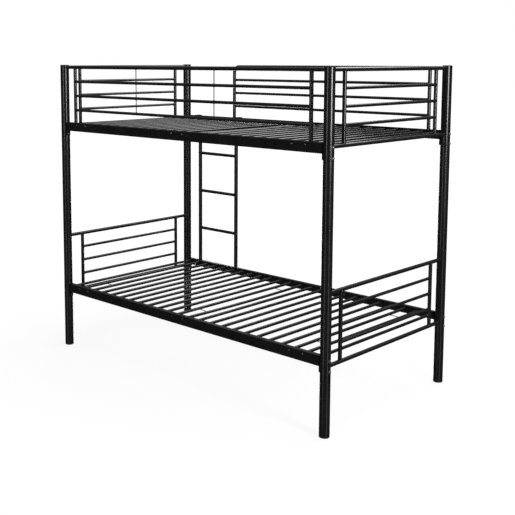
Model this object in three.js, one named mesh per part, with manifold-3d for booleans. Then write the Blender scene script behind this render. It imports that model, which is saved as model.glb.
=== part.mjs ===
// Black steel bunk bed: two decks of cross slats between four round corner posts,
// tube grilles at the ends, guard rails round the upper deck and a hook-on ladder.
// Millimetres, +Z up, X along the bed, Y across it, the floor at Z = 0.
// The front is -Y. The ladder hangs at the back (+Y), near the left end (-X).

import * as THREE from "three";
import { mergeVertices } from "three/addons/utils/BufferGeometryUtils.js";
import Module from "manifold-3d";

const wasm = await Module();
wasm.setup();

// ---- driving dimensions ----------------------------------------------------

const HEIGHT = 1685;
const POST_SPACING_X = 1925;
const POST_SPACING_Y = 1000;

const POST_RADIUS = 25;
const POST_WALL = 1.5;
const LOWER_SEAM_Z = 720;
const UPPER_SEAM_Z = 964.5;
const SLEEVE_DEPTH = 60;
const FOOT_HEIGHT = 8;
const FOOT_ROUND = 3;
const CAP_HEIGHT = 3;
const CAP_TAPER = 1.5;
const PLUG_DEPTH = 22;

const TUBE_RADIUS = 10;
const BAR_RADIUS = 8;
const ROD_RADIUS = 2.5;
const FRAME_TOP_Z = { lower: 669, upper: 1671 };
const BAR_DROPS = [83, 165, 248];
const FRAME_BOTTOM_DROP = 340;
const END_UPRIGHT_INSET = 110;
const GUARD_UPRIGHT_X = 862;
const GUARD_ROD_X = [-326, 258];
const BACK_GUARD_LEFT_X = -532;
const GUARD_BEND_RADIUS = 36;
const GUARD_BEND_STEPS = 7;
const GUARD_BEND_OVERLAP = 0.5;

const RAIL_TOP_Z = { lower: 380, upper: 1350 };
const RAIL_HEIGHT = 50;
const RAIL_FLANGE = 25;
const RAIL_SHEET = 2;
const BRACKET_HEIGHT = 78;
const BRACKET_WIDTH = 25;
const BRACKET_SHEET = 3;
const BOLT_DROPS = [19, 68.5];
const BOLT_RADIUS = 3.9;
const BOLT_HEAD_RADIUS = 7;
const BOLT_HEAD_HEIGHT = 5;
const BOLT_HEAD_CROWN = 2;
const BOLT_HOLE_RADIUS = 4.3;
const BOLT_LENGTH = 58.8;

const SLAT_RADIUS = 8;
const SLAT_PITCH = 80;
const SLAT_DROP = 15;
const SLAT_COUNT = 24;
const PAIR_CENTRES = { left: -800, middle: 0, right: 800 };
const TIE_RADIUS = 2;
const TIE_Y = 315;
const STRIP_SHEET = 3;
const STRIP_TOP_DROP = 20;
const STRIP_HEIGHT = 16;

const LADDER_RAIL_X = { left: -862, right: -538 };
const HOOK_X = { left: -862, right: -499 };
const LADDER_RAIL_RADIUS = 12;
const LADDER_FOOT_Z = 340;
const LADDER_RUNG_Z = [1099, 847, 595];
const RUNG_RADIUS = 10;
const HOOK_WIDTH = 25;
const HOOK_SHEET = 3;
const HOOK_LIP = 28;
const HOOK_LEG = 45;

const GAP = 0.3;
const HOOK_GAP = 0.5;
const BEND_SHRINK = 0.05;
const UPRIGHT_SHRINK = 0.1;

const POST_SIDES = 20;
const TUBE_SIDES = 10;
const BAR_SIDES = 8;
const ROD_SIDES = 6;
const BOLT_SIDES = 8;
const CUTTER_SIDES = 24;
const MERGE_DISTANCE = 1e-4;

// The handle that makes a cubic curve follow a quarter of a circle of radius 1.
const QUARTER_CIRCLE_HANDLE = 0.5523;

// ---- derived places --------------------------------------------------------

const postX = POST_SPACING_X / 2;
const postY = POST_SPACING_Y / 2;
const railOuterY = postY + RAIL_FLANGE / 2;
const railInnerY = railOuterY - RAIL_FLANGE;
const bracketX = postX - POST_RADIUS - GAP;
const ladderY = railOuterY + HOOK_GAP + LADDER_RAIL_RADIUS;
const ladderOverhang = ladderY + LADDER_RAIL_RADIUS - (postY + POST_RADIUS);
const ENDS = { left: -1, right: 1 };
const SIDES = { front: -1, back: 1 };
const LEVELS = ["lower", "upper"];

// ---- materials -------------------------------------------------------------

const paint = { color: 0x131315, roughness: 0.32, metalness: 0.35 };
const plastic = { color: 0x0e0e0f, roughness: 0.55, metalness: 0.0 };
const hardware = { color: 0x1c1c1e, roughness: 0.4, metalness: 0.8 };

const bed = new THREE.Group();
bed.position.y = -ladderOverhang / 2;

function add(name, geometry, look) {
  const mesh = new THREE.Mesh(geometry, new THREE.MeshStandardMaterial(look));
  mesh.name = name;
  bed.add(mesh);
}

// ---- solids ----------------------------------------------------------------

function solid(geometry) {
  const bare = geometry.clone();
  bare.deleteAttribute("normal");
  bare.deleteAttribute("uv");
  const merged = mergeVertices(bare, MERGE_DISTANCE);
  const mesh = new wasm.Mesh({
    numProp: 3,
    vertProperties: new Float32Array(merged.attributes.position.array),
    triVerts: new Uint32Array(merged.index.array),
  });
  return new wasm.Manifold(mesh);
}

function joined(geometries) {
  return geometries.map(solid).reduce((sum, next) => sum.add(next));
}

function cutBy(body, cutters) {
  return cutters.map(solid).reduce((rest, cutter) => rest.subtract(cutter), body);
}

function surface(body) {
  const mesh = body.getMesh();
  const geometry = new THREE.BufferGeometry();
  geometry.setAttribute("position", new THREE.BufferAttribute(new Float32Array(mesh.vertProperties), 3));
  geometry.setIndex(new THREE.BufferAttribute(new Uint32Array(mesh.triVerts), 1));
  geometry.computeVertexNormals();
  return geometry;
}

function rodAlong(axis, radius, from, to, place, sides = TUBE_SIDES) {
  const geometry = new THREE.CylinderGeometry(radius, radius, to - from, sides);
  const middle = (from + to) / 2;
  if (axis === "x") {
    geometry.rotateZ(Math.PI / 2);
    geometry.translate(middle, place.y, place.z);
  } else if (axis === "y") {
    geometry.translate(place.x, middle, place.z);
  } else {
    geometry.rotateX(Math.PI / 2);
    geometry.translate(place.x, place.y, middle);
  }
  return geometry;
}

function box(low, high) {
  const size = high.map((value, i) => value - low[i]);
  const geometry = new THREE.BoxGeometry(...size);
  geometry.translate(...low.map((value, i) => value + size[i] / 2));
  return geometry;
}

// A turned piece: the profile lists [radius, height] pairs, bottom to top outside.
function turned(profile, sides) {
  const points = profile.map(([radius, height]) => new THREE.Vector2(radius, height));
  const geometry = new THREE.LatheGeometry(points, sides);
  geometry.rotateX(Math.PI / 2);
  return geometry;
}

function ring(outer, inner, low, high) {
  return [[inner, low], [outer, low], [outer, high], [inner, high], [inner, low]];
}

// ---- corner posts ----------------------------------------------------------

const boreRadius = POST_RADIUS - POST_WALL;
const plugRadius = boreRadius - GAP;

function boltCutters(level, x, y) {
  return BOLT_DROPS.map((drop) => {
    const place = { y, z: RAIL_TOP_Z[level] - drop };
    return rodAlong("x", BOLT_HOLE_RADIUS, x - 2 * POST_RADIUS, x + 2 * POST_RADIUS, place, BOLT_SIDES);
  });
}

function postTube(level, x, y) {
  const low = level === "lower" ? FOOT_HEIGHT + GAP : UPPER_SEAM_Z;
  const high = level === "lower" ? LOWER_SEAM_Z : HEIGHT - CAP_HEIGHT - GAP;
  const tube = turned(ring(POST_RADIUS, boreRadius, low, high), POST_SIDES);
  tube.translate(x, y, 0);
  return surface(cutBy(solid(tube), boltCutters(level, x, y)));
}

// The middle tube of a post, with reduced ends that slide into its neighbours.
function connectorTube(x, y) {
  const low = LOWER_SEAM_Z + GAP;
  const high = UPPER_SEAM_Z - GAP;
  const inner = plugRadius - POST_WALL;
  const tube = turned([
    [inner, low - SLEEVE_DEPTH],
    [plugRadius, low - SLEEVE_DEPTH],
    [plugRadius, low],
    [POST_RADIUS, low],
    [POST_RADIUS, high],
    [plugRadius, high],
    [plugRadius, high + SLEEVE_DEPTH],
    [inner, high + SLEEVE_DEPTH],
    [inner, low - SLEEVE_DEPTH],
  ], POST_SIDES);
  tube.translate(x, y, 0);
  return tube;
}

function footGlide(x, y) {
  const foot = turned([
    [0, 0],
    [POST_RADIUS - FOOT_ROUND, 0],
    [POST_RADIUS, FOOT_ROUND],
    [POST_RADIUS, FOOT_HEIGHT],
    [plugRadius, FOOT_HEIGHT],
    [plugRadius, FOOT_HEIGHT + PLUG_DEPTH],
    [0, FOOT_HEIGHT + PLUG_DEPTH],
  ], POST_SIDES);
  foot.translate(x, y, 0);
  return foot;
}

function postCap(x, y) {
  const low = HEIGHT - CAP_HEIGHT;
  const cap = turned([
    [0, low - PLUG_DEPTH],
    [plugRadius, low - PLUG_DEPTH],
    [plugRadius, low],
    [POST_RADIUS, low],
    [POST_RADIUS - CAP_TAPER, HEIGHT],
    [0, HEIGHT],
  ], POST_SIDES);
  cap.translate(x, y, 0);
  return cap;
}

// ---- end grilles and guard rails -------------------------------------------

function postCutters(x) {
  return Object.values(SIDES).map((side) => {
    const place = { x, y: side * postY };
    return rodAlong("z", POST_RADIUS + GAP, 0, HEIGHT, place, CUTTER_SIDES);
  });
}

function endGrille(level, end) {
  const x = end * postX;
  const topZ = FRAME_TOP_Z[level];
  const bottomZ = topZ - FRAME_BOTTOM_DROP;
  const uprightY = postY - END_UPRIGHT_INSET;
  const tubes = [topZ, bottomZ].map((z) => rodAlong("y", TUBE_RADIUS, -postY, postY, { x, z }));
  for (const side of Object.values(SIDES)) {
    tubes.push(rodAlong("z", TUBE_RADIUS - UPRIGHT_SHRINK, bottomZ, topZ, { x, y: side * uprightY }));
  }
  for (const drop of BAR_DROPS) {
    tubes.push(rodAlong("y", BAR_RADIUS, -uprightY, uprightY, { x, z: topZ - drop }, BAR_SIDES));
  }
  return surface(cutBy(joined(tubes), postCutters(x)));
}

function guardBars(leftX, rightX, y) {
  return BAR_DROPS.map((drop) => {
    const place = { y, z: FRAME_TOP_Z.upper - drop };
    return rodAlong("x", BAR_RADIUS, leftX, rightX, place, BAR_SIDES);
  });
}

function guardUpright(x, y, topZ) {
  return rodAlong("z", TUBE_RADIUS - UPRIGHT_SHRINK, RAIL_TOP_Z.upper + GAP, topZ, { x, y });
}

function frontGuard() {
  const y = SIDES.front * postY;
  const topZ = FRAME_TOP_Z.upper;
  const lowestBarZ = topZ - BAR_DROPS[BAR_DROPS.length - 1];
  const tubes = [rodAlong("x", TUBE_RADIUS, -postX, postX, { y, z: topZ })];
  for (const end of Object.values(ENDS)) {
    tubes.push(guardUpright(end * GUARD_UPRIGHT_X, y, topZ));
  }
  for (const x of GUARD_ROD_X) {
    tubes.push(rodAlong("z", ROD_RADIUS, lowestBarZ, topZ, { x, y }, ROD_SIDES));
  }
  tubes.push(...guardBars(-GUARD_UPRIGHT_X, GUARD_UPRIGHT_X, y));
  return surface(cutBy(joined(tubes), [...postCutters(-postX), ...postCutters(postX)]));
}

// The back guard stops short of the left post, where its top tube bends down
// into the upright and leaves the way in from the ladder.
function backGuard() {
  const y = SIDES.back * postY;
  const topZ = FRAME_TOP_Z.upper;
  const bendX = BACK_GUARD_LEFT_X + GUARD_BEND_RADIUS;
  const bendZ = topZ - GUARD_BEND_RADIUS;
  const tubes = [
    rodAlong("x", TUBE_RADIUS, bendX, postX, { y, z: topZ }),
    rodAlong("z", TUBE_RADIUS, RAIL_TOP_Z.upper + GAP, bendZ, { x: BACK_GUARD_LEFT_X, y }),
    guardBend(bendX, y, bendZ),
    guardUpright(GUARD_UPRIGHT_X, y, topZ),
    ...guardBars(BACK_GUARD_LEFT_X, GUARD_UPRIGHT_X, y),
  ];
  return surface(cutBy(joined(tubes), postCutters(postX)));
}

function guardBend(bendX, y, bendZ) {
  const curve = new THREE.CurvePath();
  const handle = GUARD_BEND_RADIUS * QUARTER_CIRCLE_HANDLE;
  const start = new THREE.Vector3(BACK_GUARD_LEFT_X, y, bendZ);
  const end = new THREE.Vector3(bendX, y, bendZ + GUARD_BEND_RADIUS);
  curve.add(new THREE.LineCurve3(start.clone().setZ(bendZ - GUARD_BEND_OVERLAP), start));
  curve.add(new THREE.CubicBezierCurve3(
    start,
    start.clone().setZ(bendZ + handle),
    end.clone().setX(bendX - handle),
    end,
  ));
  curve.add(new THREE.LineCurve3(end, end.clone().setX(bendX + GUARD_BEND_OVERLAP)));
  const section = new THREE.Shape().absarc(0, 0, TUBE_RADIUS - BEND_SHRINK, 0, 2 * Math.PI);
  return new THREE.ExtrudeGeometry(section, {
    steps: GUARD_BEND_STEPS,
    curveSegments: TUBE_SIDES / 2,
    extrudePath: curve,
  });
}

// ---- side rails ------------------------------------------------------------

// An angle with its web outside and its flange turned in along the top, and a
// bolted bracket plate at each end that stands taller than the web.
function sideRail(level, side) {
  const top = RAIL_TOP_Z[level];
  const length = 2 * (bracketX - BRACKET_SHEET / 2);
  const outline = new THREE.Shape([
    [0, 0],
    [RAIL_SHEET, 0],
    [RAIL_SHEET, RAIL_HEIGHT - RAIL_SHEET],
    [RAIL_FLANGE, RAIL_HEIGHT - RAIL_SHEET],
    [RAIL_FLANGE, RAIL_HEIGHT],
    [0, RAIL_HEIGHT],
  ].map(([inward, up]) => new THREE.Vector2(inward, up)));
  const angle = new THREE.ExtrudeGeometry(outline, { depth: length, bevelEnabled: false });
  angle.rotateX(Math.PI / 2);
  angle.rotateZ(Math.PI / 2);
  angle.translate(-length / 2, -railOuterY, top - RAIL_HEIGHT);
  if (side === SIDES.back) angle.rotateZ(Math.PI);
  const plates = Object.values(ENDS).map((end) => bracketPlate(top, side, end));
  const holes = Object.values(ENDS).flatMap((end) => boltCutters(level, end * postX, side * postY));
  return surface(cutBy(joined([angle, ...plates]), holes));
}

function bracketPlate(top, side, end) {
  const faces = [end * bracketX, end * (bracketX - BRACKET_SHEET)];
  const middle = side * postY;
  const low = [Math.min(...faces), middle - BRACKET_WIDTH / 2, top - BRACKET_HEIGHT];
  const high = [Math.max(...faces), middle + BRACKET_WIDTH / 2, top];
  return box(low, high);
}

// A round-head bolt through the post, its head on the outside of the bed's end.
function frameBolt(level, end, side, drop) {
  const bolt = turned([
    [0, -BOLT_LENGTH],
    [BOLT_RADIUS, -BOLT_LENGTH],
    [BOLT_RADIUS, 0],
    [BOLT_HEAD_RADIUS, 0],
    [BOLT_HEAD_RADIUS - BOLT_HEAD_CROWN, BOLT_HEAD_HEIGHT],
    [0, BOLT_HEAD_HEIGHT],
  ], BOLT_SIDES);
  bolt.rotateY((end * Math.PI) / 2);
  bolt.translate(end * (postX + POST_RADIUS + GAP), side * postY, RAIL_TOP_Z[level] - drop);
  return bolt;
}

// ---- decks -----------------------------------------------------------------

const slatPlaces = Array.from({ length: SLAT_COUNT }, (_, i) => (i - (SLAT_COUNT - 1) / 2) * SLAT_PITCH);
const pairPlaces = Object.values(PAIR_CENTRES).flatMap((x) => [x - SLAT_PITCH / 2, x + SLAT_PITCH / 2]);
const plainPlaces = slatPlaces.filter((x) => !pairPlaces.includes(x));
const stripOuterY = railOuterY - RAIL_SHEET - HOOK_GAP;
const stripInnerY = stripOuterY - STRIP_SHEET;

// The plain slats of one deck, located by a strip under each rail's flange.
function plainSlats(level) {
  const top = RAIL_TOP_Z[level];
  const reach = stripInnerY + STRIP_SHEET / 2;
  const z = top - SLAT_DROP;
  const pieces = plainPlaces.map((x) => rodAlong("y", SLAT_RADIUS, -reach, reach, { x, z }, BAR_SIDES));
  const endX = plainPlaces[plainPlaces.length - 1] + SLAT_RADIUS;
  const stripTop = top - STRIP_TOP_DROP;
  for (const side of Object.values(SIDES)) {
    const faces = [side * stripOuterY, side * stripInnerY];
    pieces.push(box(
      [-endX, Math.min(...faces), stripTop - STRIP_HEIGHT],
      [endX, Math.max(...faces), stripTop],
    ));
  }
  return surface(joined(pieces));
}

// Two slats that are screwed to the rails, with two short ties between them.
function slatPair(level, centreX) {
  const reach = stripInnerY - HOOK_GAP;
  const z = RAIL_TOP_Z[level] - SLAT_DROP;
  const left = centreX - SLAT_PITCH / 2;
  const right = centreX + SLAT_PITCH / 2;
  const pieces = [left, right].map((x) => rodAlong("y", SLAT_RADIUS, -reach, reach, { x, z }, BAR_SIDES));
  for (const y of [-TIE_Y, TIE_Y]) {
    pieces.push(rodAlong("x", TIE_RADIUS, left, right, { y, z }, ROD_SIDES));
  }
  return surface(joined(pieces));
}

// ---- ladder ----------------------------------------------------------------

// A straight tube with a flat hook that passes over the side rail's flange. The
// hook's leg is as wide as it must be to reach from the tube to the hook.
function ladderRail(name) {
  const x = LADDER_RAIL_X[name];
  const top = RAIL_TOP_Z.upper;
  const tubeTop = top - HOOK_SHEET;
  const tube = rodAlong("z", LADDER_RAIL_RADIUS, LADDER_FOOT_Z, tubeTop, { x, y: ladderY });
  const over = top + GAP;
  const hookLeft = HOOK_X[name] - HOOK_WIDTH / 2;
  const hookRight = HOOK_X[name] + HOOK_WIDTH / 2;
  const legLeft = Math.min(hookLeft, x - HOOK_WIDTH / 2);
  const lipY = railInnerY - HOOK_GAP;
  const legInnerY = ladderY - HOOK_SHEET;
  const hookTop = over + HOOK_SHEET;
  const leg = box([legLeft, legInnerY, over - HOOK_LEG], [hookRight, ladderY, tubeTop]);
  const neck = box([hookLeft, legInnerY, tubeTop - HOOK_SHEET], [hookRight, ladderY, hookTop]);
  const bridge = box([hookLeft, lipY - HOOK_SHEET, over], [hookRight, ladderY, hookTop]);
  const lip = box([hookLeft, lipY - HOOK_SHEET, over - HOOK_LIP], [hookRight, lipY, hookTop]);
  return surface(joined([tube, leg, neck, bridge, lip]));
}

function ladderRung(z) {
  const { left, right } = LADDER_RAIL_X;
  const rung = rodAlong("x", RUNG_RADIUS, left, right, { y: ladderY, z });
  const low = z - 2 * RUNG_RADIUS;
  const high = z + 2 * RUNG_RADIUS;
  const cutters = [left, right].map((x) => {
    return rodAlong("z", LADDER_RAIL_RADIUS + GAP, low, high, { x, y: ladderY }, CUTTER_SIDES);
  });
  return surface(cutBy(solid(rung), cutters));
}

// ---- the bed ---------------------------------------------------------------

for (const [endName, end] of Object.entries(ENDS)) {
  for (const [sideName, side] of Object.entries(SIDES)) {
    const corner = `${sideName}_${endName}`;
    const x = end * postX;
    const y = side * postY;
    add(`foot_${corner}`, footGlide(x, y), plastic);
    add(`lower_post_${corner}`, postTube("lower", x, y), paint);
    add(`middle_post_${corner}`, connectorTube(x, y), paint);
    add(`upper_post_${corner}`, postTube("upper", x, y), paint);
    add(`post_cap_${corner}`, postCap(x, y), plastic);
    for (const level of LEVELS) {
      BOLT_DROPS.forEach((drop, i) => {
        add(`${level}_bolt_${corner}_${i + 1}`, frameBolt(level, end, side, drop), hardware);
      });
    }
  }
}

for (const level of LEVELS) {
  for (const [endName, end] of Object.entries(ENDS)) {
    add(`${level}_end_grille_${endName}`, endGrille(level, end), paint);
  }
  for (const [sideName, side] of Object.entries(SIDES)) {
    add(`${level}_side_rail_${sideName}`, sideRail(level, side), paint);
  }
  add(`${level}_slats`, plainSlats(level), paint);
  for (const [pairName, x] of Object.entries(PAIR_CENTRES)) {
    add(`${level}_slat_pair_${pairName}`, slatPair(level, x), paint);
  }
}

add("guard_rail_front", frontGuard(), paint);
add("guard_rail_back", backGuard(), paint);

for (const name of Object.keys(LADDER_RAIL_X)) {
  add(`ladder_rail_${name}`, ladderRail(name), paint);
}
LADDER_RUNG_Z.forEach((z, i) => add(`ladder_rung_${i + 1}`, ladderRung(z), paint));

export default bed;
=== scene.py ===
import math

import bmesh
import bpy
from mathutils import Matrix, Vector


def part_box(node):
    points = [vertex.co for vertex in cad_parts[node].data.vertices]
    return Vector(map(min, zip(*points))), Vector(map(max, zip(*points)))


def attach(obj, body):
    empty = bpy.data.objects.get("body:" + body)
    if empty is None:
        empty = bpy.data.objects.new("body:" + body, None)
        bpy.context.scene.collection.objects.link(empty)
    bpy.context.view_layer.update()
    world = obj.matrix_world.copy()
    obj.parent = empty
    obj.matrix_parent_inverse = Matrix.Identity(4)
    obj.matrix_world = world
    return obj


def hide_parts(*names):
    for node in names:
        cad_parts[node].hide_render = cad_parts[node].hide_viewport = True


# A black steel bunk bed: posts in three lengths, welded end grilles and guard rails,
# bolted side rails, two decks of round slats, and a ladder that hooks on at the back.
# Metres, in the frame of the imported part: X along the bed, -Y the front, the floor at Z = 0.

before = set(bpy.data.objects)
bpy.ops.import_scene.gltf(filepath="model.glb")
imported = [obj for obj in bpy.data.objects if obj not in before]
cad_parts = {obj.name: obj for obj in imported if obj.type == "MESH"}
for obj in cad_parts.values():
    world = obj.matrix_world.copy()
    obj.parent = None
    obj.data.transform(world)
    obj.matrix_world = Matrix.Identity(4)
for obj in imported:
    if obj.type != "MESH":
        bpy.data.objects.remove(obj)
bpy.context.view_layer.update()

# ---- sizes -------------------------------------------------------------------

MM = 0.001
TUBE_RADIUS = 10 * MM
UPRIGHT_RADIUS = 0.98 * TUBE_RADIUS
BAR_RADIUS = 8 * MM
ROD_RADIUS = 2.5 * MM
BAR_DROPS = (83 * MM, 165 * MM, 248 * MM)
UPRIGHT_INSET = 110 * MM
GUARD_UPRIGHT_X = 862 * MM
GUARD_ROD_X = (-326 * MM, 258 * MM)
GUARD_BEND_RADIUS = 36 * MM
GUARD_BEND_STEPS = 18

# How far a welded end runs into the tube, bar or post that holds it.
TUBE_BITE = 4 * MM
BAR_BITE = 3 * MM
ROD_BITE = 1 * MM

POST_EDGE = 1.3 * MM
POST_SEAM = 0.3 * MM
# Where a rounded edge has its middle point, as a share of the edge's size.
EDGE_SHOULDER = 0.3
# A foot has a rounded lower edge, and a groove under the post. The drops are from its top to
# where the groove starts and where it is full.
FOOT_EDGE = 3 * MM
FOOT_FLAT_INSET = 7 * MM
FOOT_GROOVE = 0.5 * MM
FOOT_GROOVE_DROPS = (1.2 * MM, 0.6 * MM)
# A top cap tapers to a rim round a shallow dish. The insets are of the dish's outer and inner
# edges.
CAP_TAPER = 1.5 * MM
CAP_SHOULDER = 0.5 * MM
CAP_BASE = 0.8 * MM
CAP_DISH = 0.5 * MM
CAP_DISH_INSETS = (4 * MM, 5 * MM)

RAIL_HEIGHT = 50 * MM
RAIL_FLANGE = 25 * MM
RAIL_SHEET = 2 * MM
RAIL_BEND = 3 * MM
RAIL_INNER_BEND = 1 * MM
RAIL_CHAMFER = 0.3 * MM
BRACKET_SIZE = (25 * MM, 78 * MM)
BRACKET_SHEET = 3 * MM
BRACKET_CORNER = 3 * MM
BRACKET_EDGE = 0.5 * MM
BOLTS_PER_BRACKET = 2

SLAT_RADIUS = 8 * MM
SLAT_PITCH = 80 * MM
SLAT_COUNT = 24
SLAT_DROP = 15 * MM
# The bolted slats come in pairs, held together by thin ties on both sides of the middle.
PAIR_CENTRES = {"left": -800 * MM, "middle": 0.0, "right": 800 * MM}
PAIR_X = [x + step * SLAT_PITCH / 2 for x in PAIR_CENTRES.values() for step in (-1, 1)]
TIE_RADIUS = 2 * MM
TIE_OFFSET = 315 * MM
MIDDLE_SAG = 6 * MM
SAG_STEPS = 16

LADDER_RAIL_RADIUS = 12 * MM
RUNG_RADIUS = 10 * MM
HOOK_WIDTH = 25 * MM
HOOK_SHEET = 3 * MM
HOOK_LIP = 28 * MM
HOOK_LEG = 45 * MM
HOOK_BEND = 3.5 * MM
HOOK_EDGE = 0.4 * MM
HOOK_PLATE_CORNER = 3 * MM
LADDER_RAIL_FOOT = 2 * MM
LADDER_RAIL_EDGE = 0.5 * MM
# The beads along both sides of a hook's leg, set in from the tube's axis and the leg's ends.
LEG_WELD_INSET = 0.5 * MM
LEG_WELD_START = 2 * MM
LEG_WELD_SHORTER = 8 * MM
# The plugs in the tube's ends. The heights are of the rim, the shoulder and the crown.
PLUG_DEPTH = 8 * MM
PLUG_WALL = 2 * MM
PLUG_GAP = 0.1 * MM
PLUG_EDGE = 0.8 * MM
PLUG_HEIGHTS = (0.9 * MM, 1.8 * MM, 2 * MM)

WELD_RADIUS = 1.7 * MM
WELD_RIPPLE = 0.28 * MM
WELD_RIPPLE_PITCH = 2.6 * MM
WELD_STEPS = 44
LEAST_RIPPLES = 6
LEAST_LINE_STEPS = 8

# How finely round shapes are divided, and which edges are shaded sharp or rounded off.
ROUND_SIDES = 40
POST_SIDES = 72
BEAD_SIDES = 8
SMALL_SIDES = 24
ARC_STEPS = 6
SMOOTH_ANGLE = math.radians(38)
SOFT_ANGLE = math.radians(50)
SOFT_SEGMENTS = 2
SOFT_PROFILE = 0.7

ENDS = {"left": -1, "right": 1}
SIDES = {"front": -1, "back": 1}
LEVELS = ("lower", "upper")
X_AXIS = Vector((1, 0, 0))
Y_AXIS = Vector((0, 1, 0))
Z_AXIS = Vector((0, 0, 1))


# ---- places, from the frame --------------------------------------------------

def low(node):
    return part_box(node)[0]


def high(node):
    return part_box(node)[1]


def middle(node):
    return (low(node) + high(node)) / 2


POST_RADIUS = (high("lower_post_front_left").x - low("lower_post_front_left").x) / 2
POST_X = {end: middle(f"lower_post_front_{end}").x for end in ENDS}
POST_Y = {side: middle(f"lower_post_{side}_left").y for side in SIDES}
MIDDLE_Y = (POST_Y["front"] + POST_Y["back"]) / 2
RAIL_TOP = {level: high(f"{level}_side_rail_front").z for level in LEVELS}
GRILLE_TOP = {level: high(f"{level}_end_grille_left").z - TUBE_RADIUS for level in LEVELS}
GRILLE_BOTTOM = {level: low(f"{level}_end_grille_left").z + TUBE_RADIUS for level in LEVELS}
GUARD_TOP = GRILLE_TOP["upper"]
BACK_GUARD_LEFT_X = low("guard_rail_back").x + TUBE_RADIUS
RAIL_OUTER_Y = {side: POST_Y[side] + sign * RAIL_FLANGE / 2 for side, sign in SIDES.items()}
BRACKET_FACE_X = high("upper_side_rail_front").x
LADDER_Y = middle("ladder_rung_1").y
LADDER_X = {
    "left": middle("ladder_rail_left").x,
    "right": low("ladder_rail_right").x + HOOK_WIDTH / 2,
}
HOOK_X = {
    "left": middle("ladder_rail_left").x,
    "right": high("ladder_rail_right").x - HOOK_WIDTH / 2,
}


# ---- materials ---------------------------------------------------------------

NOISE_ROUGHNESS = 0.55
NOISE_SPAN = (0.3, 0.7)

# Each finish gives the shader's own numbers, the noise (scale, detail) and the two colours of
# the base, the noise and the range of the roughness, and layers of fine relief as
# (scale, detail, strength, depth in metres).
FINISHES = {
    "black_powder_coat": {
        "sockets": {
            "Roughness": 0.3,
            "Specular IOR Level": 0.42,
            "Metallic": 0.0,
            "Coat Weight": 0.35,
            "Coat Roughness": 0.14,
        },
        "colour_noise": (9.0, 2.0),
        "colours": [(0.3, (0.0052, 0.0052, 0.0056)), (0.7, (0.0088, 0.0088, 0.0093))],
        "gloss_noise": (42.0, 3.0),
        "roughness": (0.20, 0.28),
        "relief": [(520.0, 2.0, 0.010, 0.00008), (2600.0, 1.0, 0.012, 0.00002)],
    },
    "black_plastic": {
        "sockets": {"Roughness": 0.5, "Specular IOR Level": 0.35, "Metallic": 0.0},
        "colour_noise": (30.0, 2.0),
        "colours": [(0.3, (0.0075, 0.0075, 0.008)), (0.7, (0.012, 0.012, 0.0125))],
        "gloss_noise": (120.0, 3.0),
        "roughness": (0.42, 0.58),
        "relief": [(1900.0, 2.0, 0.25, 0.00012)],
    },
    "black_bolt_steel": {
        "sockets": {"Roughness": 0.35, "Specular IOR Level": 0.5, "Metallic": 0.85},
        "colour_noise": (260.0, 4.0),
        "colours": [(0.3, (0.10, 0.10, 0.105)), (0.75, (0.24, 0.24, 0.245))],
        "gloss_noise": (700.0, 2.0),
        "roughness": (0.26, 0.46),
        "relief": [(1500.0, 2.0, 0.15, 0.00006)],
    },
}


def noise(tree, scale, detail):
    place = tree.nodes.new("ShaderNodeTexCoord")
    texture = tree.nodes.new("ShaderNodeTexNoise")
    texture.inputs["Scale"].default_value = scale
    texture.inputs["Detail"].default_value = detail
    texture.inputs["Roughness"].default_value = NOISE_ROUGHNESS
    tree.links.new(place.outputs["Object"], texture.inputs["Vector"])
    return texture.outputs["Fac"]


def remapped(tree, value, from_range, to_range):
    node = tree.nodes.new("ShaderNodeMapRange")
    node.inputs["From Min"].default_value = from_range[0]
    node.inputs["From Max"].default_value = from_range[1]
    node.inputs["To Min"].default_value = to_range[0]
    node.inputs["To Max"].default_value = to_range[1]
    tree.links.new(value, node.inputs["Value"])
    return node.outputs["Result"]


def ramped(tree, value, stops):
    node = tree.nodes.new("ShaderNodeValToRGB")
    elements = node.color_ramp.elements
    while len(elements) < len(stops):
        elements.new(0.5)
    for element, (position, colour) in zip(elements, stops):
        element.position = position
        element.color = (*colour, 1.0)
    tree.links.new(value, node.inputs["Fac"])
    return node.outputs["Color"]


def bumped(tree, shader, layers):
    """Adds fine relief to a shader, one bump node for each layer."""
    normal = None
    for height, strength, distance in layers:
        node = tree.nodes.new("ShaderNodeBump")
        node.inputs["Strength"].default_value = strength
        node.inputs["Distance"].default_value = distance
        tree.links.new(height, node.inputs["Height"])
        if normal is not None:
            tree.links.new(normal, node.inputs["Normal"])
        normal = node.outputs["Normal"]
    tree.links.new(normal, shader.inputs["Normal"])


def finished_material(name):
    finish = FINISHES[name]
    material = bpy.data.materials.new(name)
    material.use_nodes = True
    tree = material.node_tree
    shader = tree.nodes["Principled BSDF"]
    for socket, value in finish["sockets"].items():
        shader.inputs[socket].default_value = value
    colour = ramped(tree, noise(tree, *finish["colour_noise"]), finish["colours"])
    tree.links.new(colour, shader.inputs["Base Color"])
    gloss = remapped(tree, noise(tree, *finish["gloss_noise"]), NOISE_SPAN, finish["roughness"])
    tree.links.new(gloss, shader.inputs["Roughness"])
    layers = []
    for scale, detail, strength, depth in finish["relief"]:
        layers.append((noise(tree, scale, detail), strength, depth))
    bumped(tree, shader, layers)
    return material


MATERIALS = {name: finished_material(name) for name in FINISHES}


# ---- mesh tools --------------------------------------------------------------

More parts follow.
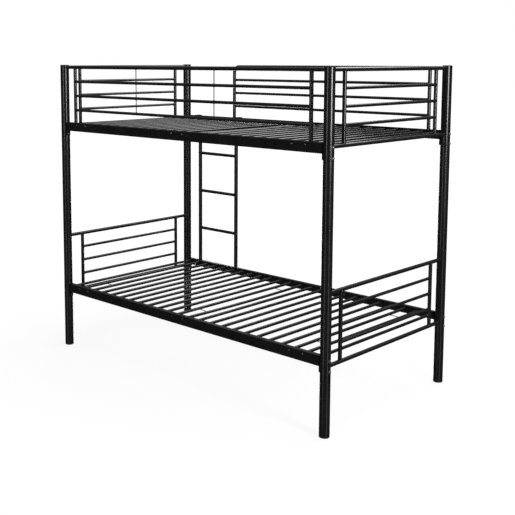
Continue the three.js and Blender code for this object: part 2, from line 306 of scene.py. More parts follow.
def piece(name, mesh, slot, body="bed_frame", replaces=()):
    """Turns a bmesh into a piece that rides on a body and takes its finish from a slot."""
    bmesh.ops.recalc_face_normals(mesh, faces=mesh.faces)
    data = bpy.data.meshes.new(name)
    mesh.to_mesh(data)
    mesh.free()
    data.polygons.foreach_set("use_smooth", [True] * len(data.polygons))
    data.set_sharp_from_angle(angle=SMOOTH_ANGLE)
    data.materials.append(MATERIALS[slot])
    made = bpy.data.objects.new(name, data)
    bpy.context.scene.collection.objects.link(made)
    shading = made.modifiers.new("flat_faces", "WEIGHTED_NORMAL")
    shading.keep_sharp = True
    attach(made, body)
    if replaces:
        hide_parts(*replaces)


def circle_points(centre, across, up, radius, sides):
    turns = [2 * math.pi * i / sides for i in range(sides)]
    return [centre + radius * (math.cos(t) * across + math.sin(t) * up) for t in turns]


def join_rings(mesh, first, second):
    count = len(first)
    for i in range(count):
        j = (i + 1) % count
        mesh.faces.new((first[i], first[j], second[j], second[i]))


def add_sweep(mesh, points, radii, sides, reference, closed=False):
    """A round bar along a line of points. reference is a direction that the line never follows."""
    count = len(points)
    rings = []
    for i, point in enumerate(points):
        before = points[i - 1] if closed or i > 0 else point
        after = points[(i + 1) % count] if closed or i < count - 1 else point
        along = (after - before).normalized()
        across = (reference - along * reference.dot(along)).normalized()
        ring = circle_points(point, across, along.cross(across), radii[i], sides)
        rings.append([mesh.verts.new(p) for p in ring])
    for first, second in zip(rings, rings[1:]):
        join_rings(mesh, first, second)
    if closed:
        join_rings(mesh, rings[-1], rings[0])
    else:
        mesh.faces.new(rings[0])
        mesh.faces.new(rings[-1])


def square_to(direction):
    """A main axis that is well away from the direction, to start a ring from."""
    return Z_AXIS if abs(direction.z) < 0.5 else X_AXIS


def add_rod(mesh, start, end, radius, edge=0.0, sides=ROUND_SIDES):
    """A straight round bar, its end edges rounded off where edge is given."""
    along = (end - start).normalized()
    points, radii = [start, end], [radius, radius]
    if edge:
        shoulder = EDGE_SHOULDER * edge
        points = [start, start + along * shoulder, start + along * edge]
        points += [end - along * edge, end - along * shoulder, end]
        radii = [radius - edge, radius - shoulder, radius]
        radii += [radius, radius - shoulder, radius - edge]
    add_sweep(mesh, points, radii, sides, square_to(along))


def add_lathe(mesh, profile, origin, axis, sides):
    """A turned body. The profile lists (radius, height along axis); radius 0 closes an end."""
    across = square_to(axis)
    up = axis.cross(across)
    rings = []
    for radius, height in profile:
        centre = origin + axis * height
        if radius == 0:
            rings.append([mesh.verts.new(centre)])
        else:
            ring = circle_points(centre, across, up, radius, sides)
            rings.append([mesh.verts.new(p) for p in ring])
    for first, second in zip(rings, rings[1:]):
        if len(first) == 1:
            fan(mesh, first[0], second)
        elif len(second) == 1:
            fan(mesh, second[0], first)
        else:
            join_rings(mesh, first, second)


def fan(mesh, tip, ring):
    for i in range(len(ring)):
        mesh.faces.new((tip, ring[i], ring[(i + 1) % len(ring)]))


def add_prism(mesh, outline, across, up, start, end):
    """A straight extrusion of an outline in the plane of across and up, from start to end."""
    caps = []
    for origin in (start, end):
        caps.append([mesh.verts.new(origin + across * a + up * b) for a, b in outline])
    join_rings(mesh, caps[0], caps[1])
    mesh.faces.new(caps[0])
    mesh.faces.new(caps[1])


def arc(centre, radius, start_deg, end_deg, steps=ARC_STEPS):
    x, y = centre
    span = end_deg - start_deg
    turns = [math.radians(start_deg + span * i / steps) for i in range(steps + 1)]
    return [(x + radius * math.cos(t), y + radius * math.sin(t)) for t in turns]


def rounded_rectangle(low_corner, high_corner, radius):
    (x0, y0), (x1, y1) = low_corner, high_corner
    outline = arc((x1 - radius, y0 + radius), radius, -90, 0)
    outline += arc((x1 - radius, y1 - radius), radius, 0, 90)
    outline += arc((x0 + radius, y1 - radius), radius, 90, 180)
    outline += arc((x0 + radius, y0 + radius), radius, 180, 270)
    return outline


def soften(mesh, width):
    """Rounds every edge of the mesh that is sharper than SOFT_ANGLE."""
    joined = [edge for edge in mesh.edges if len(edge.link_faces) == 2]
    sharp = [edge for edge in joined if edge.calc_face_angle(0) > SOFT_ANGLE]
    bmesh.ops.bevel(mesh, geom=sharp, offset=width, segments=SOFT_SEGMENTS,
                    profile=SOFT_PROFILE, affect="EDGES")


# ---- weld beads --------------------------------------------------------------

def bead_radii(length, steps):
    """The rippled radius along a bead."""
    ripples = max(LEAST_RIPPLES, round(length / WELD_RIPPLE_PITCH))
    phases = [math.pi * ripples * i / steps for i in range(steps)]
    return [WELD_RADIUS + WELD_RIPPLE * abs(math.sin(p)) for p in phases]


def add_saddle_weld(mesh, root, along, radius, host_axis, host_radius):
    """The bead where a bar meets a round tube. root is on the tube's axis, along leaves it."""
    side = along.cross(host_axis)
    points = []
    for i in range(WELD_STEPS):
        turn = 2 * math.pi * i / WELD_STEPS
        reach = math.sqrt(max(host_radius ** 2 - (radius * math.sin(turn)) ** 2, 0))
        outline = root + host_axis * radius * math.cos(turn) + side * radius * math.sin(turn)
        points.append(outline + along * reach)
    radii = bead_radii(2 * math.pi * radius, WELD_STEPS)
    add_sweep(mesh, points, radii, BEAD_SIDES, along, closed=True)


def add_flat_weld(mesh, centre, normal, radius, steps=WELD_STEPS):
    """The bead round a bar that ends on a flat face."""
    across = square_to(normal)
    points = circle_points(centre, across, normal.cross(across), radius, steps)
    radii = bead_radii(2 * math.pi * radius, steps)
    add_sweep(mesh, points, radii, BEAD_SIDES, normal, closed=True)


def add_line_weld(mesh, start, end):
    """A straight bead, two steps to each ripple."""
    length = (end - start).length
    steps = max(LEAST_LINE_STEPS, round(length / WELD_RIPPLE_PITCH) * 2)
    points = [start.lerp(end, i / (steps - 1)) for i in range(steps)]
    reference = square_to((end - start).normalized())
    add_sweep(mesh, points, bead_radii(length, steps), BEAD_SIDES, reference)


# ---- posts -------------------------------------------------------------------

def post_profile(bottom, top):
    shoulder = EDGE_SHOULDER * POST_EDGE
    return [
        (0, bottom),
        (POST_RADIUS - POST_EDGE, bottom),
        (POST_RADIUS - shoulder, bottom + shoulder),
        (POST_RADIUS, bottom + POST_EDGE),
        (POST_RADIUS, top - POST_EDGE),
        (POST_RADIUS - shoulder, top - shoulder),
        (POST_RADIUS - POST_EDGE, top),
        (0, top),
    ]


def foot_profile(top):
    groove_radius = POST_RADIUS - FOOT_GROOVE
    lip_drop, groove_drop = FOOT_GROOVE_DROPS
    profile = [(0, 0), (POST_RADIUS - FOOT_FLAT_INSET, 0)]
    profile += arc((POST_RADIUS - FOOT_EDGE, FOOT_EDGE), FOOT_EDGE, -90, 0)
    profile += [(POST_RADIUS, top - lip_drop), (groove_radius, top - groove_drop)]
    return profile + [(groove_radius, top), (0, top)]


def cap_profile(bottom, top):
    rim_inset, dish_inset = CAP_DISH_INSETS
    profile = [(0, bottom), (POST_RADIUS, bottom), (POST_RADIUS, bottom + CAP_BASE)]
    profile += [(POST_RADIUS - 0.5 * CAP_TAPER, top - CAP_SHOULDER)]
    profile += [(POST_RADIUS - CAP_TAPER, top), (POST_RADIUS - rim_inset, top)]
    return profile + [(POST_RADIUS - dish_inset, top - CAP_DISH), (0, top - CAP_DISH)]


def turned_piece(name, profile, x, y, slot, node):
    """A round piece on a post's axis, in place of one CAD node."""
    mesh = bmesh.new()
    add_lathe(mesh, profile, Vector((x, y, 0)), Z_AXIS, POST_SIDES)
    piece(name, mesh, slot, replaces=[node])


def corner_post(side, end):
    """One corner of the bed: three lengths of post, a foot and a top cap."""
    corner = f"{side}_{end}"
    x, y = POST_X[end], POST_Y[side]
    foot_top = low(f"lower_post_{corner}").z
    lower_top = high(f"lower_post_{corner}").z
    upper_bottom = low(f"upper_post_{corner}").z
    upper_top = high(f"upper_post_{corner}").z
    spans = {
        "lower": (foot_top, lower_top),
        "middle": (lower_top + POST_SEAM, upper_bottom - POST_SEAM),
        "upper": (upper_bottom, upper_top),
    }
    for part, span in spans.items():
        node = f"{part}_post_{corner}"
        turned_piece(f"post_{part}_{corner}", post_profile(*span), x, y, "black_powder_coat", node)
    profile = foot_profile(foot_top)
    turned_piece(f"foot_cap_{corner}", profile, x, y, "black_plastic", f"foot_{corner}")
    cap_node = f"post_cap_{corner}"
    profile = cap_profile(upper_top, high(cap_node).z)
    turned_piece(f"top_cap_{corner}", profile, x, y, "black_plastic", cap_node)


# ---- end grilles and guard rails ---------------------------------------------

def add_bar_between(mesh, start, end, radius, host_axis, host_radius, bite=TUBE_BITE):
    """A bar welded at both ends to tubes whose axes pass through start and end."""
    along = (end - start).normalized()
    reach = host_radius - bite
    add_rod(mesh, start + along * reach, end - along * reach, radius)
    add_saddle_weld(mesh, start, along, radius, host_axis, host_radius)
    add_saddle_weld(mesh, end, -along, radius, host_axis, host_radius)


def end_grille(level, end):
    """Two tubes between the posts, two uprights between the tubes and three bars."""
    mesh = bmesh.new()
    x, top, bottom = POST_X[end], GRILLE_TOP[level], GRILLE_BOTTOM[level]
    for z in (top, bottom):
        start, stop = Vector((x, POST_Y["front"], z)), Vector((x, POST_Y["back"], z))
        add_bar_between(mesh, start, stop, TUBE_RADIUS, Z_AXIS, POST_RADIUS)
    front, back = POST_Y["front"] + UPRIGHT_INSET, POST_Y["back"] - UPRIGHT_INSET
    for y in (front, back):
        start, stop = Vector((x, y, bottom)), Vector((x, y, top))
        add_bar_between(mesh, start, stop, UPRIGHT_RADIUS, Y_AXIS, TUBE_RADIUS, BAR_BITE)
    for drop in BAR_DROPS:
        start, stop = Vector((x, front, top - drop)), Vector((x, back, top - drop))
        add_bar_between(mesh, start, stop, BAR_RADIUS, Z_AXIS, TUBE_RADIUS, BAR_BITE)
    node = f"{level}_end_grille_{end}"
    piece(f"grille_{level}_{end}", mesh, "black_powder_coat", replaces=[node])


def add_guard_upright(mesh, x, y):
    foot = Vector((x, y, RAIL_TOP["upper"]))
    top = Vector((x, y, GUARD_TOP))
    add_rod(mesh, foot, top - Z_AXIS * (TUBE_RADIUS - BAR_BITE), UPRIGHT_RADIUS)
    add_flat_weld(mesh, foot, Z_AXIS, UPRIGHT_RADIUS)
    add_saddle_weld(mesh, top, -Z_AXIS, UPRIGHT_RADIUS, X_AXIS, TUBE_RADIUS)


def add_guard_bars(mesh, left, right, y):
    for drop in BAR_DROPS:
        start, stop = Vector((left, y, GUARD_TOP - drop)), Vector((right, y, GUARD_TOP - drop))
        add_bar_between(mesh, start, stop, BAR_RADIUS, Z_AXIS, TUBE_RADIUS, BAR_BITE)


def add_guard_rod(mesh, x, y):
    """A thin rod from the top tube down through the bars, in lengths welded between them."""
    heights = [GUARD_TOP] + [GUARD_TOP - drop for drop in BAR_DROPS]
    hosts = [TUBE_RADIUS] + [BAR_RADIUS] * len(BAR_DROPS)
    for i in range(len(BAR_DROPS)):
        upper, lower = Vector((x, y, heights[i])), Vector((x, y, heights[i + 1]))
        top = upper - Z_AXIS * (hosts[i] - ROD_BITE)
        bottom = lower + Z_AXIS * (hosts[i + 1] - ROD_BITE)
        add_rod(mesh, top, bottom, ROD_RADIUS)
        add_saddle_weld(mesh, upper, -Z_AXIS, ROD_RADIUS, X_AXIS, hosts[i])
        add_saddle_weld(mesh, lower, Z_AXIS, ROD_RADIUS, X_AXIS, hosts[i + 1])


def front_guard():
    """The front guard rail, from post to post."""
    mesh = bmesh.new()
    y = POST_Y["front"]
    start, stop = (Vector((POST_X[end], y, GUARD_TOP)) for end in ENDS)
    add_bar_between(mesh, start, stop, TUBE_RADIUS, Z_AXIS, POST_RADIUS)
    for x in (-GUARD_UPRIGHT_X, GUARD_UPRIGHT_X):
        add_guard_upright(mesh, x, y)
    add_guard_bars(mesh, -GUARD_UPRIGHT_X, GUARD_UPRIGHT_X, y)
    for x in GUARD_ROD_X:
        add_guard_rod(mesh, x, y)
    piece("guard_front", mesh, "black_powder_coat", replaces=["guard_rail_front"])


def back_guard():
    """The back guard rail, bent down to the side rail beside the ladder's opening."""
    mesh = bmesh.new()
    y = POST_Y["back"]
    centre = (BACK_GUARD_LEFT_X + GUARD_BEND_RADIUS, GUARD_TOP - GUARD_BEND_RADIUS)
    bend = arc(centre, GUARD_BEND_RADIUS, 180, 90, GUARD_BEND_STEPS)
    foot = Vector((BACK_GUARD_LEFT_X, y, RAIL_TOP["upper"]))
    line = [foot] + [Vector((x, y, z)) for x, z in bend]
    post = Vector((POST_X["right"], y, GUARD_TOP))
    line.append(post - X_AXIS * (POST_RADIUS - TUBE_BITE))
    add_sweep(mesh, line, [TUBE_RADIUS] * len(line), ROUND_SIDES, Y_AXIS)
    add_flat_weld(mesh, foot, Z_AXIS, TUBE_RADIUS)
    add_saddle_weld(mesh, post, -X_AXIS, TUBE_RADIUS, Z_AXIS, POST_RADIUS)
    add_guard_upright(mesh, GUARD_UPRIGHT_X, y)
    add_guard_bars(mesh, BACK_GUARD_LEFT_X, GUARD_UPRIGHT_X, y)
    piece("guard_back", mesh, "black_powder_coat", replaces=["guard_rail_back"])


# ---- side rails --------------------------------------------------------------

def rail_outline():
    """The folded angle as (inward, up), from the outer top corner."""
    chamfer = RAIL_CHAMFER
    inner = RAIL_INNER_BEND
    outline = [(chamfer, -RAIL_HEIGHT), (0, -RAIL_HEIGHT + chamfer)]
    outline += arc((RAIL_BEND, -RAIL_BEND), RAIL_BEND, 180, 90)
    outline += [(RAIL_FLANGE - chamfer, 0), (RAIL_FLANGE, -chamfer)]
    outline += [(RAIL_FLANGE, -RAIL_SHEET + chamfer), (RAIL_FLANGE - chamfer, -RAIL_SHEET)]
    outline += arc((RAIL_SHEET + inner, -RAIL_SHEET - inner), inner, 90, 180)
    outline += [(RAIL_SHEET, -RAIL_HEIGHT + chamfer), (RAIL_SHEET - chamfer, -RAIL_HEIGHT)]
    return outline


def bracket_plate(level, side, end):
    plate = bmesh.new()
    width, height = BRACKET_SIZE
    outline = rounded_rectangle((-width / 2, -height), (width / 2, 0), BRACKET_CORNER)
    outward = X_AXIS * ENDS[end]
    outer = Vector((0, POST_Y[side], RAIL_TOP[level])) + outward * BRACKET_FACE_X
    add_prism(plate, outline, Y_AXIS, Z_AXIS, outer - outward * BRACKET_SHEET, outer)
    soften(plate, BRACKET_EDGE)
    return plate


def merge(mesh, other):
    """Moves the faces of the other bmesh into this one."""
    data = bpy.data.meshes.new("merge")
    other.to_mesh(data)
    other.free()
    mesh.from_mesh(data)
    bpy.data.meshes.remove(data)


def side_rail(level, side):
    """A folded angle with a bracket plate welded to each end."""
    mesh = bmesh.new()
    inward = Y_AXIS * -SIDES[side]
    reach = X_AXIS * (BRACKET_FACE_X - BRACKET_SHEET / 2)
    corner = Vector((0, RAIL_OUTER_Y[side], RAIL_TOP[level]))
    add_prism(mesh, rail_outline(), inward, Z_AXIS, corner - reach, corner + reach)
    for end, sign in ENDS.items():
        merge(mesh, bracket_plate(level, side, end))
        plate_face = X_AXIS * sign * (BRACKET_FACE_X - BRACKET_SHEET)
        seam = corner + plate_face + inward * RAIL_SHEET
        add_line_weld(mesh, seam - Z_AXIS * RAIL_SHEET, seam - Z_AXIS * (RAIL_HEIGHT - MM))
    piece(f"rail_{level}_{side}", mesh, "black_powder_coat", replaces=[f"{level}_side_rail_{side}"])


# ---- fasteners ---------------------------------------------------------------

# The heads, as radius, height, width across the socket's flats and depth of the socket.
BOLT_HEAD = (7 * MM, 4.2 * MM, 5 * MM, 2.6 * MM)
SLAT_SCREW_HEAD = (4.6 * MM, 2.8 * MM, 3 * MM, 1.6 * MM)
RUNG_SCREW_HEAD = (6 * MM, 3.6 * MM, 4 * MM, 2 * MM)
# A head's dome follows part of a circle, from a base a little narrower than the head to the
# socket's mouth. The mouth and the lead-in are given in sizes of the socket.
HEAD_BASE = 0.98
DOME_DEGREES = (8, 62)
SOCKET_MOUTH = 1.25
SOCKET_LEAD = 1.08
SOCKET_LEAD_DEPTH = 0.3 * MM
SOCKET_TIP = 0.8 * MM

WASHER_RADIUS = 8 * MM
WASHER_RIM = 7.4 * MM
WASHER_EDGE_HEIGHT = 0.6 * MM
WASHER_HEIGHT = 1 * MM

# The nut's flange and corners are given in widths across its flats. Below the crown the
# corners are whole, and at the top they are cut to a circle.
NUT_FLATS = 12 * MM
NUT_HEIGHT = 5.2 * MM
NUT_FLANGE = 0.62
NUT_FLANGE_HEIGHTS = (0.8 * MM, 1.3 * MM)
NUT_BODY_START = 0.6 * MM
NUT_CROWN = 1 * MM
NUT_CORNER = 0.577
NUT_CIRCLE = 0.5

# The end of the bolt that stands out of its nut, measured from the bracket plate.
BOLT_END_SPAN = (4 * MM, 6.2 * MM)
BOLT_END_RADIUS = 3.8 * MM
BOLT_END_EDGE = 0.6 * MM

# How deep a rung's screw sits in the round of the ladder's side tube.
RUNG_SCREW_SINK = 0.6 * MM


def hexagon_radius(turn, flats):
    """The distance from the middle of a hexagon to its side, in the direction of turn."""
    sector = (turn + math.pi / 6) % (math.pi / 3) - math.pi / 6
    return flats / 2 / math.cos(sector)


def small_ring(mesh, centre, axis, radius_at):
    """A ring of vertices round an axis. radius_at gives the radius for each turn."""
    across = square_to(axis)
    up = axis.cross(across)
    ring = []
    for i in range(SMALL_SIDES):
        turn = 2 * math.pi * i / SMALL_SIDES
        ray = across * math.cos(turn) + up * math.sin(turn)
        ring.append(mesh.verts.new(centre + ray * radius_at(turn)))
    return ring


def add_socket_head(mesh, seat, axis, size):
    """A domed round head with a hexagon socket, standing on seat."""
    radius, height, flats, depth = size
    mouth = flats / 2 * SOCKET_MOUTH
    scale = math.sin(math.radians(DOME_DEGREES[1]))
    profile = [(radius * HEAD_BASE, 0)]
    profile += [(radius * a, height * b / scale) for a, b in arc((0, 0), 1.0, *DOME_DEGREES)]
    rings = []
    for ring_radius, level in profile:
        if ring_radius > mouth:
            ring = small_ring(mesh, seat + axis * level, axis, lambda turn: ring_radius)
            rings.append(ring)
    socket = (
        (height, SOCKET_LEAD),
        (height - SOCKET_LEAD_DEPTH, 1.0),
        (height - depth, 1.0),
    )
    for level, grow in socket:
        centre = seat + axis * level
        ring = small_ring(mesh, centre, axis, lambda turn: hexagon_radius(turn, flats) * grow)
        rings.append(ring)
    for first, second in zip(rings, rings[1:]):
        join_rings(mesh, first, second)
    fan(mesh, mesh.verts.new(seat + axis * (height - depth - SOCKET_TIP)), rings[-1])
    mesh.faces.new(rings[0])


def add_hex_nut(mesh, seat, axis):
    """A flanged hexagon nut on seat, with its corners rounded off at the top."""
    flange = NUT_FLATS * NUT_FLANGE
    rim_height, shoulder_height = NUT_FLANGE_HEIGHTS
    profile = [(0, 0), (flange, 0), (flange, rim_height)]
    profile += [(NUT_FLATS * NUT_CIRCLE, shoulder_height), (0, shoulder_height)]
    add_lathe(mesh, profile, seat, axis, SMALL_SIDES)
    levels = (
        (NUT_BODY_START, NUT_CORNER),
        (NUT_HEIGHT - NUT_CROWN, NUT_CORNER),
        (NUT_HEIGHT, NUT_CIRCLE),
    )
    rings = []
    for level, limit in levels:
        centre = seat + axis * level
        most = NUT_FLATS * limit
        rings.append(small_ring(
            mesh, centre, axis, lambda turn: min(hexagon_radius(turn, NUT_FLATS), most)))
    for first, second in zip(rings, rings[1:]):
        join_rings(mesh, first, second)
    mesh.faces.new(rings[0])
    mesh.faces.new(rings[-1])


def add_washer(mesh, seat, axis):
    """A washer on seat, its underside just inside the post."""
    profile = [(0, -WASHER_HEIGHT), (WASHER_RADIUS, -WASHER_HEIGHT)]
    profile += [(WASHER_RADIUS, WASHER_EDGE_HEIGHT), (WASHER_RIM, WASHER_HEIGHT)]
    profile += [(0, WASHER_HEIGHT)]
    add_lathe(mesh, profile, seat, axis, SMALL_SIDES)


def frame_bolt(level, side, end, index):
    """A bolt through the post and the bracket plate, and its nut inside."""
    corner = f"{side}_{end}_{index + 1}"
    node = f"{level}_bolt_{corner}"
    axis = X_AXIS * ENDS[end]
    centre = middle(node)
    across = Vector((0, centre.y, centre.z))
    seat = across + axis * (abs(POST_X[end]) + POST_RADIUS)
    head = bmesh.new()
    add_washer(head, seat, axis)
    add_socket_head(head, seat + axis * WASHER_HEIGHT, axis, BOLT_HEAD)
    piece(f"frame_bolt_{level}_{corner}", head, "black_bolt_steel", replaces=[node])
    nut = bmesh.new()
    face = across + axis * (BRACKET_FACE_X - BRACKET_SHEET)
    add_hex_nut(nut, face, -axis)
    near, far = (face - axis * reach for reach in BOLT_END_SPAN)
    add_rod(nut, near, far, BOLT_END_RADIUS, BOLT_END_EDGE, SMALL_SIDES)
    piece(f"frame_nut_{level}_{corner}", nut, "black_bolt_steel")


def slat_screws(level, side):
    """The screws that hold the bolted slats, through the outer face of one side rail."""
    mesh = bmesh.new()
    axis = Y_AXIS * SIDES[side]
    for x in PAIR_X:
        seat = Vector((x, RAIL_OUTER_Y[side], RAIL_TOP[level] - SLAT_DROP))
        add_socket_head(mesh, seat, axis, SLAT_SCREW_HEAD)
    piece(f"slat_screws_{level}_{side}", mesh, "black_bolt_steel")


# ---- decks -------------------------------------------------------------------

SLAT_X = [(i - (SLAT_COUNT - 1) / 2) * SLAT_PITCH for i in range(SLAT_COUNT)]
PLAIN_X = [x for x in SLAT_X if min(abs(x - p) for p in PAIR_X) > MM]


def sag_at(y, sag):
    """How far a slat that sags at mid span has dropped at y."""
    half = (RAIL_OUTER_Y["back"] - RAIL_OUTER_Y["front"]) / 2 - RAIL_SHEET
    return sag * (1 - ((y - MIDDLE_Y) / half) ** 2)


def add_slat(mesh, x, z, sag=0.0):
    ends = {side: RAIL_OUTER_Y[side] - sign * RAIL_SHEET for side, sign in SIDES.items()}
    front, back = Vector((x, ends["front"], z)), Vector((x, ends["back"], z))
    line = [front.lerp(back, i / SAG_STEPS) for i in range(SAG_STEPS + 1)]
    line = [point - Z_AXIS * sag_at(point.y, sag) for point in line]
    add_sweep(mesh, line, [SLAT_RADIUS] * len(line), ROUND_SIDES, X_AXIS)
    add_flat_weld(mesh, front, Y_AXIS, SLAT_RADIUS, SMALL_SIDES)
    add_flat_weld(mesh, back, -Y_AXIS, SLAT_RADIUS, SMALL_SIDES)


def plain_slats(level):
    z = RAIL_TOP[level] - SLAT_DROP
    for i, x in enumerate(PLAIN_X):
        mesh = bmesh.new()
        add_slat(mesh, x, z)
        piece(f"slat_{level}_{i + 1}", mesh, "black_powder_coat", replaces=[f"{level}_slats"])


def slat_pair(level, place):
    """Two bolted slats with two thin ties. The right one of the middle pair sags."""
    mesh = bmesh.new()
    z = RAIL_TOP[level] - SLAT_DROP
    left = PAIR_CENTRES[place] - SLAT_PITCH / 2
    right = PAIR_CENTRES[place] + SLAT_PITCH / 2
    sag = MIDDLE_SAG if place == "middle" else 0.0
    add_slat(mesh, left, z)
    add_slat(mesh, right, z, sag)
    for y in (MIDDLE_Y - TIE_OFFSET, MIDDLE_Y + TIE_OFFSET):
        start, end = Vector((left, y, z)), Vector((right, y, z - sag_at(y, sag)))
        add_bar_between(mesh, start, end, TIE_RADIUS, Y_AXIS, SLAT_RADIUS, ROD_BITE)
    node = f"{level}_slat_pair_{place}"
    piece(f"slats_{level}_{place}", mesh, "black_powder_coat", replaces=[node])


# ---- ladder ------------------------------------------------------------------

def hook_outline(top, outer_y, lip_y):
    """The bent strip seen from the side, as (y, z): up the leg, over the rail, down the lip."""
    sheet, bend = HOOK_SHEET, HOOK_BEND
    over = top + sheet
    outline = [(outer_y, top - HOOK_LEG)]
    outline += arc((outer_y - bend, over - bend), bend, 0, 90)
    outline += arc((lip_y + bend, over - bend), bend, 90, 180)
    outline += [(lip_y, top - HOOK_LIP + MM), (lip_y + MM, top - HOOK_LIP)]
    outline += [(lip_y + sheet, top - HOOK_LIP), (lip_y + sheet, top)]
    outline += [(outer_y - sheet, top), (outer_y - sheet, top - HOOK_LEG)]
    return outline


def add_hook(mesh, name):
    """The hook over the side rail, with a plate where the hook stands beside its tube."""
    top = high(f"ladder_rail_{name}").z - HOOK_SHEET
    left, right = HOOK_X[name] - HOOK_WIDTH / 2, HOOK_X[name] + HOOK_WIDTH / 2
    strip = bmesh.new()
    outline = hook_outline(top, LADDER_Y, low(f"ladder_rail_{name}").y)
    add_prism(strip, outline, Y_AXIS, Z_AXIS, X_AXIS * left, X_AXIS * right)
    soften(strip, HOOK_EDGE)
    merge(mesh, strip)
    leg_left = min(left, LADDER_X[name] - HOOK_WIDTH / 2)
    if leg_left < left:
        plate = bmesh.new()
        low_corner = (leg_left, top - HOOK_LEG)
        high_corner = (right, top - 2 * HOOK_SHEET)
        outline = rounded_rectangle(low_corner, high_corner, HOOK_PLATE_CORNER)
        inner, outer = Y_AXIS * (LADDER_Y - HOOK_SHEET), Y_AXIS * LADDER_Y
        add_prism(plate, outline, X_AXIS, Z_AXIS, inner, outer)
        soften(plate, HOOK_EDGE)
        merge(mesh, plate)


def plug_profile():
    """An end plug's shape from inside the tube to its domed face."""
    outside = LADDER_RAIL_RADIUS
    inside = outside - PLUG_WALL
    rim, shoulder, crown = PLUG_HEIGHTS
    profile = [(0, -PLUG_DEPTH), (inside, -PLUG_DEPTH), (inside, PLUG_GAP), (outside, PLUG_GAP)]
    return profile + [(outside, rim), (outside - PLUG_EDGE, shoulder), (0, crown)]


def ladder_rail(name):
    """A side tube of the ladder with its hook, and a plug in each end."""
    node = f"ladder_rail_{name}"
    mesh = bmesh.new()
    x = LADDER_X[name]
    bottom = Vector((x, LADDER_Y, low(node).z + LADDER_RAIL_FOOT))
    top = Vector((x, LADDER_Y, high(node).z - 2 * HOOK_SHEET))
    add_rod(mesh, bottom, top, LADDER_RAIL_RADIUS, LADDER_RAIL_EDGE)
    add_hook(mesh, name)
    for offset in (-LADDER_RAIL_RADIUS, LADDER_RAIL_RADIUS):
        start = Vector((x + offset, LADDER_Y - LEG_WELD_INSET, top.z - LEG_WELD_START))
        add_line_weld(mesh, start, start - Z_AXIS * (HOOK_LEG - LEG_WELD_SHORTER))
    piece(f"ladder_side_{name}", mesh, "black_powder_coat", "ladder", [node])
    for place, origin, axis in (("foot", bottom, -Z_AXIS), ("top", top, Z_AXIS)):
        plug = bmesh.new()
        add_lathe(plug, plug_profile(), origin, axis, ROUND_SIDES)
        piece(f"ladder_plug_{place}_{name}", plug, "black_plastic", "ladder")


def ladder_rung(index):
    """A rung, and the screw at each of its ends."""
    node = f"ladder_rung_{index}"
    mesh = bmesh.new()
    z = middle(node).z
    start, end = (Vector((LADDER_X[name], LADDER_Y, z)) for name in ENDS)
    add_bar_between(mesh, start, end, RUNG_RADIUS, Z_AXIS, LADDER_RAIL_RADIUS, BAR_BITE)
    piece(f"ladder_step_{index}", mesh, "black_powder_coat", "ladder", [node])
    screws = bmesh.new()
    for name, sign in ENDS.items():
        reach = sign * (LADDER_RAIL_RADIUS - RUNG_SCREW_SINK)
        seat = Vector((LADDER_X[name] + reach, LADDER_Y, z))
        add_socket_head(screws, seat, X_AXIS * sign, RUNG_SCREW_HEAD)
    piece(f"ladder_screws_{index}", screws, "black_bolt_steel", "ladder")


# ---- stage -------------------------------------------------------------------

FLOOR_RADIUS = 60
FLOOR_SIDES = 96
FLOOR_DROP = 0.2 * MM
FLOOR_COLOUR = (0.86, 0.86, 0.86, 1)
FLOOR_GLOW = 1.08
# The glow's share of the floor rises from the first to the second over these distances.
FLOOR_GLOW_SPAN = (1.0, 3.6)
FLOOR_GLOW_SHARE = (0.80, 1.0)

# Grey levels of the light from the world, by the height of its direction.
SKY_LEVELS = ((0.0, 0.02), (0.05, 0.03), (0.20, 0.12), (1.0, 0.35))

# Name, place, the point it faces, width, height, watts. The low boxes stand below the floor,
# which lets their light through.
SOFTBOXES = (
    ("side_box", (4.3, -0.9, 2.0), (0.9, -0.5, 1.7), 0.9, 1.8, 100),
    ("side_low_box", (4.3, -0.9, -0.2), (0.9, -0.5, 0.2), 0.45, 2.4, 6),
    ("front_box", (0.3, -6.5, 1.9), (0, -0.5, 1.2), 0.6, 2.2, 32),
    ("front_low_box", (0.3, -6.5, -0.7), (0, -0.5, 0.0), 0.6, 2.8, 14),
    ("rear_low_box", (-3.5, 3.4, -0.5), (0, 0, 0.3), 0.5, 3.0, 30),
    ("back_box", (0.8, 2.7, 4.1), (0, 0, 1.3), 3.2, 1.4, 62),
    ("top_box", (0.2, 0.6, 4.6), (0, 0, 0.6), 3.0, 2.0, 70),
)


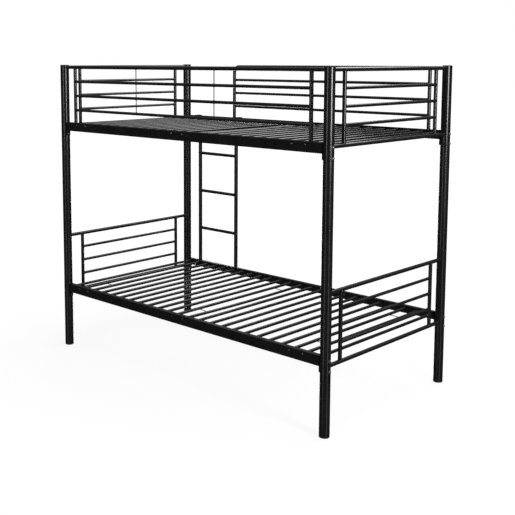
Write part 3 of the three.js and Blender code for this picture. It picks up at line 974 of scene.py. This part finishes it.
def pale_floor():
    """A pale disc that turns to the plain backdrop's white away from the bed."""
    mesh = bmesh.new()
    bmesh.ops.create_circle(mesh, cap_ends=True, segments=FLOOR_SIDES, radius=FLOOR_RADIUS)
    data = bpy.data.meshes.new("floor")
    mesh.to_mesh(data)
    mesh.free()
    floor = bpy.data.objects.new("floor", data)
    floor.location.z = -FLOOR_DROP
    bpy.context.scene.collection.objects.link(floor)
    floor.visible_glossy = False
    floor.visible_shadow = False
    material = bpy.data.materials.new("pale_floor")
    material.use_nodes = True
    tree = material.node_tree
    tree.nodes.clear()
    output = tree.nodes.new("ShaderNodeOutputMaterial")
    lit = tree.nodes.new("ShaderNodeBsdfDiffuse")
    lit.inputs["Color"].default_value = FLOOR_COLOUR
    glow = tree.nodes.new("ShaderNodeEmission")
    glow.inputs["Strength"].default_value = FLOOR_GLOW
    place = tree.nodes.new("ShaderNodeTexCoord")
    length = tree.nodes.new("ShaderNodeVectorMath")
    length.operation = "LENGTH"
    tree.links.new(place.outputs["Object"], length.inputs[0])
    share = remapped(tree, length.outputs["Value"], FLOOR_GLOW_SPAN, FLOOR_GLOW_SHARE)
    mix = tree.nodes.new("ShaderNodeMixShader")
    tree.links.new(share, mix.inputs["Fac"])
    tree.links.new(lit.outputs["BSDF"], mix.inputs[1])
    tree.links.new(glow.outputs["Emission"], mix.inputs[2])
    tree.links.new(mix.outputs["Shader"], output.inputs["Surface"])
    data.materials.append(material)


def studio_world():
    """White to the eye; as light, dim at the horizon and below, and brighter overhead."""
    world = bpy.data.worlds.new("studio")
    bpy.context.scene.world = world
    world.use_nodes = True
    tree = world.node_tree
    tree.nodes.clear()
    output = tree.nodes.new("ShaderNodeOutputWorld")
    path = tree.nodes.new("ShaderNodeLightPath")
    seen = tree.nodes.new("ShaderNodeBackground")
    seen.inputs["Color"].default_value = (1, 1, 1, 1)
    place = tree.nodes.new("ShaderNodeTexCoord")
    split = tree.nodes.new("ShaderNodeSeparateXYZ")
    tree.links.new(place.outputs["Generated"], split.inputs["Vector"])
    stops = [(height, (grey, grey, grey)) for height, grey in SKY_LEVELS]
    sky = ramped(tree, split.outputs["Z"], stops)
    light = tree.nodes.new("ShaderNodeBackground")
    tree.links.new(sky, light.inputs["Color"])
    mix = tree.nodes.new("ShaderNodeMixShader")
    tree.links.new(path.outputs["Is Camera Ray"], mix.inputs["Fac"])
    tree.links.new(light.outputs["Background"], mix.inputs[1])
    tree.links.new(seen.outputs["Background"], mix.inputs[2])
    tree.links.new(mix.outputs["Shader"], output.inputs["Surface"])


def softbox(name, place, target, width, height, power):
    data = bpy.data.lights.new(name, "AREA")
    data.shape = "RECTANGLE"
    data.size = width
    data.size_y = height
    data.energy = power
    lamp = bpy.data.objects.new(name, data)
    lamp.location = place
    aim = Vector(target) - Vector(place)
    lamp.rotation_euler = aim.to_track_quat("-Z", "Y").to_euler()
    lamp.visible_camera = False
    bpy.context.scene.collection.objects.link(lamp)


# The camera stands where the photograph's perspective puts it. The photograph would need a
# shift twice as large and no pitch, which would cut off the bed's top in the other views.
CAMERA_PLACE = (3.3234, -3.6638, 1.7078)
CAMERA_YAW = 44.66
CAMERA_PITCH = 6.65
CAMERA_LENS = 62.32
CAMERA_SHIFT = (0.10, -0.18)
SENSOR_WIDTH = 36


def add_camera():
    data = bpy.data.cameras.new("camera")
    data.sensor_width = SENSOR_WIDTH
    data.lens = CAMERA_LENS
    data.shift_x, data.shift_y = CAMERA_SHIFT
    camera = bpy.data.objects.new("camera", data)
    camera.location = CAMERA_PLACE
    tilt = math.radians(90 - CAMERA_PITCH)
    camera.rotation_euler = (tilt, 0, math.radians(CAMERA_YAW))
    bpy.context.scene.collection.objects.link(camera)
    bpy.context.scene.camera = camera


# ---- the bed -----------------------------------------------------------------

bpy.context.scene.view_settings.view_transform = "Standard"
add_camera()
pale_floor()
studio_world()
for box in SOFTBOXES:
    softbox(*box)

for side in SIDES:
    for end in ENDS:
        corner_post(side, end)
        for level in LEVELS:
            for index in range(BOLTS_PER_BRACKET):
                frame_bolt(level, side, end, index)

for level in LEVELS:
    for end in ENDS:
        end_grille(level, end)
    for side in SIDES:
        side_rail(level, side)
        slat_screws(level, side)
    plain_slats(level)
    for place in PAIR_CENTRES:
        slat_pair(level, place)

front_guard()
back_guard()
for name in ENDS:
    ladder_rail(name)
for index in (1, 2, 3):
    ladder_rung(index)
